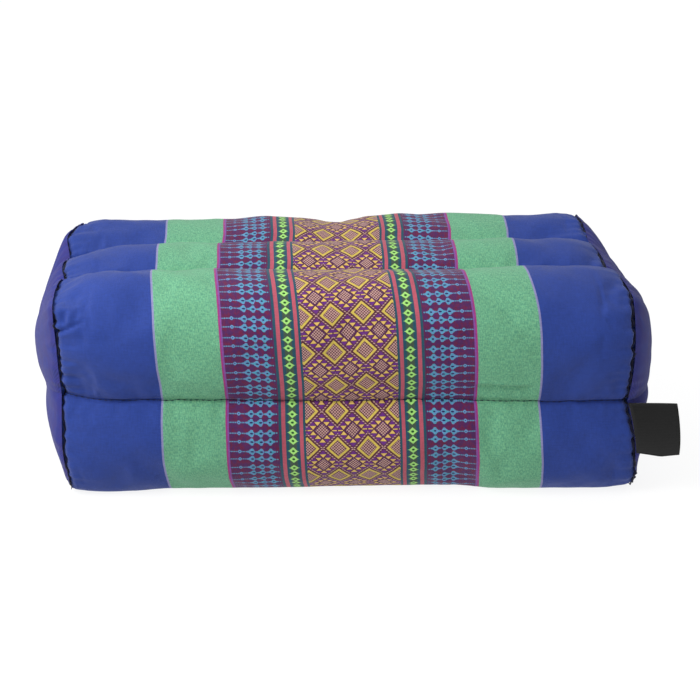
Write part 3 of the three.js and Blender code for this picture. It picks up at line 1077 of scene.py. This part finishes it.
class StageSettings(PropertyGroup):
    """Camera and light."""

    azimuth: FloatProperty(
        name="Azimuth", description="Turn of the camera about the cushion",
        default=math.radians(-2.6), subtype="ANGLE",
    )
    elevation: FloatProperty(
        name="Elevation", description="Height of the camera above the horizon",
        default=math.radians(18.67), subtype="ANGLE",
    )
    roll: FloatProperty(
        name="Roll", description="Turn of the camera about its own axis",
        default=math.radians(0.54), subtype="ANGLE",
    )
    distance: FloatProperty(
        name="Distance", description="Camera to the middle of the cushion", default=0.98715, unit="LENGTH",
    )
    lens: FloatProperty(
        name="Lens", description="Focal length in millimetres", default=86.6, min=10, max=300,
    )
    shift: FloatProperty(
        name="Shift", description="Sideways shift of the frame, as a share of its width", default=0.0177,
    )
    floor_colour: colour_property("Floor", 100, 100, 100, "Plain pale floor")
    floor_glow: FloatProperty(
        name="Floor Glow", description="Light from below the floor, which thins the shadows",
        default=0.88, min=0,
    )


# Pieces

def finish_piece(piece, node):
    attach(piece, BODY)
    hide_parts(node)


class WrapSurface:
    """The dressed wrap's points, shared by the wrap, the thread and the label."""

    def __init__(self, settings):
        self.form = CushionForm()
        self.ways = wrap_ways(84, 30)
        points = plain_wrap(self.form, self.ways)
        points += spread_offsets(self.form, self.ways, *settled_offsets(settings))
        normals = grid_normals(points)
        distance = seam_distances(self.form, self.ways)
        relief = wrap_relief(self.form, points[..., 0], distance)
        relief *= smooth_step(points[..., 2], 0.2, 6.0)
        points += normals * relief[..., None]
        points[..., 2] = np.maximum(points[..., 2], 0)
        self.points = points
        self.normals = grid_normals(points)


# The dressed wrap, kept for the operators that sew onto it
shared = {}

CAP_SIZES = (0.97, 0.9, 0.75, 0.5, 0.25)


class CUSHION_OT_add_wrap(Operator):
    """Add the filled woven wrap with its six channels"""

    bl_idname = "cushion.add_wrap"
    bl_label = "Add Woven Wrap"

    def execute(self, context):
        settings = context.scene.cushion_wrap
        surface = WrapSurface(settings)
        shared["surface"] = surface
        form = surface.form
        left = [form.dome("left", size, 0) for size in reversed(CAP_SIZES)]
        right = [form.dome("right", size, 0) for size in CAP_SIZES]
        rings = np.concatenate([left, surface.points, right])
        tips = [form.dome(name, 0, 0)[:1] for name in ENDS]
        points = np.concatenate([rings.reshape(-1, 3), *tips])
        count = form.count
        tip = len(rings) * count
        faces = grid_faces(len(rings), count)
        fans = tip_faces(tip, 0, count, False) + tip_faces(tip + 1, tip - count, count, True)
        wrap = new_piece("woven_wrap", points, faces + fans, wrap_material(settings))
        flat_fans = np.zeros((len(fans), 3, 2)).reshape(-1, 2)
        cloth = self.cloth_corners(form, rings[..., 0]).reshape(-1, 2)
        set_corner_map(wrap, "Cloth", np.concatenate([cloth, flat_fans]))
        layout = self.layout_corners(len(rings), form).reshape(-1, 2)
        set_corner_map(wrap, "OFBake", np.concatenate([layout, flat_fans]))
        finish_piece(wrap, "cushion_body")
        return {"FINISHED"}

    @staticmethod
    def cloth_corners(form, x):
        """Cloth coordinates at the four corners of each quad, with each channel's own row and tilt."""
        next_x = np.roll(x, -1, axis=1)
        row_at = np.array([CHANNELS[number].row_at for number in form.channel])
        tilt = np.array([CHANNELS[number].row_tilt for number in form.channel])
        first, last = form.up
        corners = []
        for corner_x, up in ((x[:-1], first), (next_x[:-1], last), (next_x[1:], last), (x[1:], first)):
            across = corner_x - np.interp(up, DRIFT_AT, DRIFT_X)
            across = across / (1 + np.interp(up, STRETCH_AT, STRETCH))
            along = np.broadcast_to(up - row_at, across.shape) - tilt * np.interp(across, SWAY_AT, SWAY)
            corners.append(np.stack([across, along], axis=-1))
        return np.stack(corners, axis=2)

    @staticmethod
    def layout_corners(rings, form):
        """A plain layout of the quads over the unit square."""
        ring, place = np.meshgrid(np.arange(rings - 1), np.arange(form.count), indexing="ij")
        corners = []
        for ring_step, place_step in ((0, 0), (0, 1), (1, 1), (1, 0)):
            u = (ring + ring_step) / (rings - 1)
            v = form.run[place + place_step] / form.run[-1]
            corners.append(np.stack([u, v], axis=-1))
        return np.stack(corners, axis=2)


PANEL_RINGS = 46
PANEL_OFFSET = 0.9
RIM_REACH = 0.35
RIM = {"roll": 2.6, "bead": 0.25, "bead_at": 2.0, "bead_width": 1.6, "fade": 2.5}


class CUSHION_OT_add_end_panels(Operator):
    """Add the two twill end panels with their rolled, puckered rims"""

    bl_idname = "cushion.add_end_panels"
    bl_label = "Add End Panels"

    def execute(self, context):
        settings = context.scene.cushion_panels
        material = panel_material(settings)
        form = CushionForm()
        for end_name in ENDS:
            self.add_panel(form, end_name, settings, material)
        return {"FINISHED"}

    def add_panel(self, form, end_name, settings, material):
        thickness = settings.thickness / MM
        sizes = 1 - np.linspace(0, 0.985, PANEL_RINGS) ** 1.7
        outer = self.panel_rings(form, end_name, sizes, PANEL_OFFSET + thickness, True)
        inner = self.panel_rings(form, end_name, sizes, PANEL_OFFSET, False)
        sign = ENDS[end_name].sign
        first, last = (inner, outer) if sign > 0 else (outer, inner)
        rings = np.concatenate([first[::-1], last])
        tips = [first[-1].mean(axis=0, keepdims=True), last[-1].mean(axis=0, keepdims=True)]
        points = np.concatenate([rings.reshape(-1, 3), *tips])
        count = form.count
        tip = len(rings) * count
        faces = grid_faces(len(rings), count) + tip_faces(tip, 0, count, False)
        faces += tip_faces(tip + 1, tip - count, count, True)
        name = "end_panel_" + end_name + "_twill"
        panel = new_piece(name, points, faces, material)
        set_point_map(panel, "Cloth", points[:, 1:])
        finish_piece(panel, "end_panel_" + end_name)

    @staticmethod
    def panel_rings(form, end_name, sizes, offset, outside):
        end = ENDS[end_name]
        share = form.run[:-1] / form.run[-1]
        seed = 80 if end.sign < 0 else 90
        fine = uneven_wave(share, PANEL_FINE.waves, seed)
        broad = uneven_wave(share, PANEL_BROAD.waves, seed + 1)
        rings = []
        for size in sizes:
            points = form.dome(end_name, size, 0)
            from_middle = points - (0, 0, END_CENTRE_Z)
            radius = np.linalg.norm(from_middle[:, 1:], axis=1)
            from_rim = (1 / max(size, 0.02) - 1) * radius
            roll = 1 - np.exp(-from_rim / RIM["roll"])
            bead = RIM["bead"] * np.exp(-((from_rim - RIM["bead_at"]) / RIM["bead_width"]) ** 2)
            pucker = PANEL_FINE.height * fine * np.exp(-from_rim / PANEL_FINE.reach)
            pucker += PANEL_BROAD.height * broad * np.exp(-from_rim / PANEL_BROAD.reach)
            stand = (offset * roll + bead + pucker * roll) if outside else offset * roll * 0.4
            points[:, 0] += end.sign * stand
            reach = (RIM_REACH + 0.5 * fine) * np.exp(-from_rim / RIM["fade"]) if outside else 0
            points[:, 1:] += from_middle[:, 1:] / radius[:, None] * np.reshape(reach, (-1, 1))
            points[:, 2] = np.maximum(points[:, 2], 0.05)
            rings.append(points)
        return np.array(rings)


# Width of the end seam thread at each end, as a share of the seam radius. The thread is real dark thread,
# but it is drawn wider, most at the right end, into a dark band that also stands for the shade in the gap
# between the wrap and the panel rim: painted shade.
SEAM_THREAD_AND_SHADE_WIDTH = {"left": 0.85, "right": 1.35}


class CUSHION_OT_add_thread(Operator):
    """Add the dark thread of the end seams, widened into dark bands that also stand for the shade in their
    gaps, and the stitches of the channel lines, joined by a thin dark line that stands for the shade of the
    stitch crease
    """

    bl_idname = "cushion.add_thread"
    bl_label = "Add Sewing Thread"

    def execute(self, context):
        settings = context.scene.cushion_thread
        surface = shared["surface"]
        material = thread_material(settings)
        for end_name, ring in (("left", 0), ("right", -1)):
            self.add_seam(surface, end_name, ring, settings, material)
        self.add_stitches(surface, settings, material)
        return {"FINISHED"}

    @staticmethod
    def add_seam(surface, end_name, ring, settings, material):
        form = surface.form
        share = form.run[:-1] / form.run[-1]
        seed = 100 if ring == 0 else 110
        path = surface.points[ring].copy()
        outward = path - path.mean(axis=0)
        outward[:, 0] = 0
        outward /= np.linalg.norm(outward, axis=1, keepdims=True)
        # The tube is widened past the real thread into a dark band in the gap between wrap and panel:
        # painted shade
        wide = SEAM_THREAD_AND_SHADE_WIDTH[end_name] * smooth_step(path[:, 2], -4, 10)
        radius = settings.seam_radius / MM * wide * (1 + 0.3 * uneven_wave(share, 45, seed))
        path += outward * (0.5 + 0.35 * uneven_wave(share, 66, seed + 1))[:, None]
        sway = 0.4 * SEAM_THREAD_AND_SHADE_WIDTH[end_name] * uneven_wave(share, 80, seed + 2)
        path[:, 0] += ENDS[end_name].sign * (0.45 + sway)
        path[:, 2] = np.maximum(path[:, 2], 1.2)
        sides = 8
        rings = tube_rings(path, outward, radius, sides)
        faces = grid_faces(len(rings) + 1, sides)
        last = len(rings) * sides
        faces = [[corner % last for corner in face] for face in faces]
        thread = new_piece("end_seam_thread_and_gap_shade_" + end_name, rings.reshape(-1, 3), faces, material)
        length = np.repeat(form.run[:-1], sides)
        turn = np.tile(np.arange(sides) * 0.7, len(rings))
        set_point_map(thread, "Cloth", np.column_stack([turn, length]))
        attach(thread, BODY)

    @staticmethod
    def add_stitches(surface, settings, material):
        form = surface.form
        sides = 6
        thin = settings.stitch_radius / MM
        points = []
        faces = []
        coordinates = []
        for row in CHANNELS:
            line = surface.points[:, form.places[row.start]]
            normal = surface.normals[:, form.places[row.start]]
            run = np.concatenate([[0], np.cumsum(np.linalg.norm(np.diff(line, axis=0), axis=1))])
            at = np.arange(0, run[-1], STITCH_PITCH / 6)
            path = np.column_stack([np.interp(at, run, line[:, axis]) for axis in range(3)])
            lift = np.column_stack([np.interp(at, run, normal[:, axis]) for axis in range(3)])
            # Between stitches the tube runs on, thinner, as a thin dark line: painted shade of the crease
            # along the stitch line, with real thread at the stitches
            swell = 0.5 - 0.5 * np.cos(2 * np.pi * at / STITCH_PITCH)
            path += lift * (0.1 + 0.2 * swell[:, None])
            rings = tube_rings(path, lift, thin * (0.5 + swell ** 2), sides)
            first = sum(len(block) for block in points)
            points.append(rings.reshape(-1, 3))
            faces += (np.array(grid_faces(len(rings), sides)) + first).tolist()
            last = first + (len(rings) - 1) * sides
            faces.append([first + side for side in reversed(range(sides))])
            faces.append([last + side for side in range(sides)])
            turn = np.tile(np.arange(sides) * 0.35, len(rings))
            coordinates.append(np.column_stack([turn, np.repeat(at, sides)]))
        stitches = new_piece("channel_stitches", np.concatenate(points), faces, material)
        set_point_map(stitches, "Cloth", np.concatenate(coordinates))
        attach(stitches, BODY)


LABEL_CORNER = {"at": 0.57, "up": 2.0}


class CUSHION_OT_add_label(Operator):
    """Add the folded black label in the right front seam"""

    bl_idname = "cushion.add_label"
    bl_label = "Add Label Tab"

    def execute(self, context):
        settings = context.scene.cushion_label
        form = CushionForm()
        low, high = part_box("label_tab")
        rim = form.ring("right", 1)[form.places["front_stitch"]:form.places["foot_out"] + 1]
        rows = 24
        heights = np.linspace(high.z, low.z, rows + 1) / MM
        root_x = np.interp(-heights, -rim[:, 2], rim[:, 0])
        root_y = np.interp(-heights, -rim[:, 2], rim[:, 1])
        outline = self.fold_outline(settings.reach / MM, settings.ply / MM)
        count = len(outline)
        points = []
        for row, height in enumerate(heights):
            share = outline[:, 0] / (settings.reach / MM)
            wave = 0.35 * np.sin(2.3 * row / rows + 2.0 * share) * share
            lengthen = blend(2.2, -1.0, row / rows) / (settings.reach / MM)
            x = root_x[row] + 0.2 + outline[:, 0] * (1 + lengthen)
            y = root_y[row] - 1.05 - 1.5 * share ** 2 + outline[:, 1] + wave
            corner = LABEL_CORNER["up"] * np.abs(share / LABEL_CORNER["at"] - 1) * (row / rows) ** 3
            points.append(np.column_stack([x, y, height + corner]))
        points = np.concatenate(points)
        faces = grid_faces(rows + 1, count)
        half = count // 2
        for ring, flip in ((0, False), (rows, True)):
            for place in range(half - 1):
                quad = [place, place + 1, count - 2 - place, count - 1 - place]
                quad = [ring * count + corner for corner in quad]
                faces.append(quad[::-1] if flip else quad)
        label = new_piece("label_ribbon_fold", points, faces, label_material(settings))
        reach_along = np.tile(outline[:, 0], rows + 1)
        set_point_map(label, "Cloth", np.column_stack([reach_along, points[:, 2]]))
        finish_piece(label, "label_tab")
        2 * settings.reach
        return {"FINISHED"}

    @staticmethod
    def fold_outline(reach, ply):
        """Closed outline of the folded ribbon from above: out along the front, round the fold, back."""
        columns = 14
        turn = 7
        gap = 0.15
        centre = gap + ply / 2

        def side(radius):
            straight = np.linspace(0, reach - gap - ply, columns)
            angle = np.linspace(-np.pi / 2, np.pi / 2, turn)
            fold = np.column_stack([straight[-1] + radius * np.cos(angle), radius * np.sin(angle)])
            front = np.column_stack([straight[:-1], np.full(columns - 1, -radius)])
            back = np.column_stack([straight[-2::-1], np.full(columns - 1, radius)])
            return np.concatenate([front, fold, back])

        outer = side(centre + ply / 2)
        inner = side(centre - ply / 2)
        return np.concatenate([outer, inner[::-1]])


FLOOR_REACH = 6.0
AIM = Vector((0, 0, 0.06))
STUDIO_STRENGTH = 0.2

# Lights, in metres. spread: the setting that softens the light, and amount: its value.
Light = namedtuple("Light", "name kind energy spread amount place towards")
LIGHTS = (
    Light("sky", "SUN", 2.7, "angle", math.radians(105), (0, 0, 0), (0.38, -0.02, -1.0)),
    Light("key", "AREA", 5.0, "size", 0.4, (-0.45, -0.42, 0.56), (0.42, 0.38, -0.48)),
)


class CUSHION_OT_add_stage(Operator):
    """Add the pale floor, the soft lights and the camera"""

    bl_idname = "cushion.add_stage"
    bl_label = "Add Stage"

    def execute(self, context):
        settings = context.scene.cushion_stage
        self.add_floor(settings)
        self.add_lights(context.scene)
        self.add_camera(context.scene, settings)
        return {"FINISHED"}

    @staticmethod
    def add_floor(settings):
        material = bpy.data.materials.new("pale_floor")
        material.use_nodes = True
        shader = material.node_tree.nodes["Principled BSDF"]
        shader.inputs["Base Color"].default_value = with_alpha(settings.floor_colour)
        shader.inputs["Roughness"].default_value = 0.9
        shader.inputs["Specular IOR Level"].default_value = 0.1
        shader.inputs["Emission Color"].default_value = (1.0, 1.0, 1.0, 1.0)
        shader.inputs["Emission Strength"].default_value = settings.floor_glow
        mesh = bpy.data.meshes.new("floor")
        corners = [(x * FLOOR_REACH, y * FLOOR_REACH, 0) for x, y in ((-1, -1), (1, -1), (1, 1), (-1, 1))]
        mesh.from_pydata(corners, [], [(0, 1, 2, 3)])
        mesh.materials.append(material)
        link_object("floor", mesh)

    @staticmethod
    def add_lights(scene):
        world = bpy.data.worlds.new("studio")
        world.use_nodes = True
        background = world.node_tree.nodes["Background"]
        background.inputs["Color"].default_value = (1.0, 1.0, 1.0, 1.0)
        background.inputs["Strength"].default_value = STUDIO_STRENGTH
        scene.world = world
        scene.view_settings.view_transform = "Standard"
        for light in LIGHTS:
            data = bpy.data.lights.new(light.name, light.kind)
            data.energy = light.energy
            setattr(data, light.spread, light.amount)
            lamp = bpy.data.objects.new(light.name, data)
            lamp.location = light.place
            lamp.rotation_euler = Vector(light.towards).to_track_quat("-Z", "Y").to_euler()
            scene.collection.objects.link(lamp)

    @staticmethod
    def add_camera(scene, settings):
        data = bpy.data.cameras.new("camera")
        data.sensor_width = 36.0
        data.lens = settings.lens
        data.shift_x = settings.shift
        camera = bpy.data.objects.new("camera", data)
        flat = math.cos(settings.elevation)
        back = Vector((math.sin(settings.azimuth) * flat, -math.cos(settings.azimuth) * flat,
                       math.sin(settings.elevation)))
        camera.location = AIM + settings.distance * back
        facing = (-back).to_track_quat("-Z", "Y")
        turned = facing @ Quaternion((0, 0, 1), settings.roll)
        camera.rotation_euler = turned.to_euler()
        scene.collection.objects.link(camera)
        scene.camera = camera


class CUSHION_PT_sidebar(Panel):
    """Steps that build the cushion"""

    bl_idname = "CUSHION_PT_sidebar"
    bl_label = "Block Cushion"
    bl_space_type = "VIEW_3D"
    bl_region_type = "UI"
    bl_category = "Cushion"

    def draw(self, context):
        for operator in OPERATORS:
            self.layout.operator(operator.bl_idname)


SETTINGS = (
    ("cushion_wrap", WrapSettings),
    ("cushion_panels", EndPanelSettings),
    ("cushion_thread", ThreadSettings),
    ("cushion_label", LabelSettings),
    ("cushion_stage", StageSettings),
)
OPERATORS = (
    CUSHION_OT_add_wrap,
    CUSHION_OT_add_end_panels,
    CUSHION_OT_add_thread,
    CUSHION_OT_add_label,
    CUSHION_OT_add_stage,
)


def register():
    for name, settings in SETTINGS:
        bpy.utils.register_class(settings)
        setattr(bpy.types.Scene, name, PointerProperty(type=settings))
    for operator in OPERATORS:
        bpy.utils.register_class(operator)
    bpy.utils.register_class(CUSHION_PT_sidebar)


def unregister():
    bpy.utils.unregister_class(CUSHION_PT_sidebar)
    for operator in reversed(OPERATORS):
        bpy.utils.unregister_class(operator)
    for name, settings in reversed(SETTINGS):
        delattr(bpy.types.Scene, name)
        bpy.utils.unregister_class(settings)


def main():
    register()
    bpy.ops.cushion.add_stage()
    bpy.ops.cushion.add_wrap()
    bpy.ops.cushion.add_end_panels()
    bpy.ops.cushion.add_thread()
    bpy.ops.cushion.add_label()


if __name__ == "__main__":
    main()
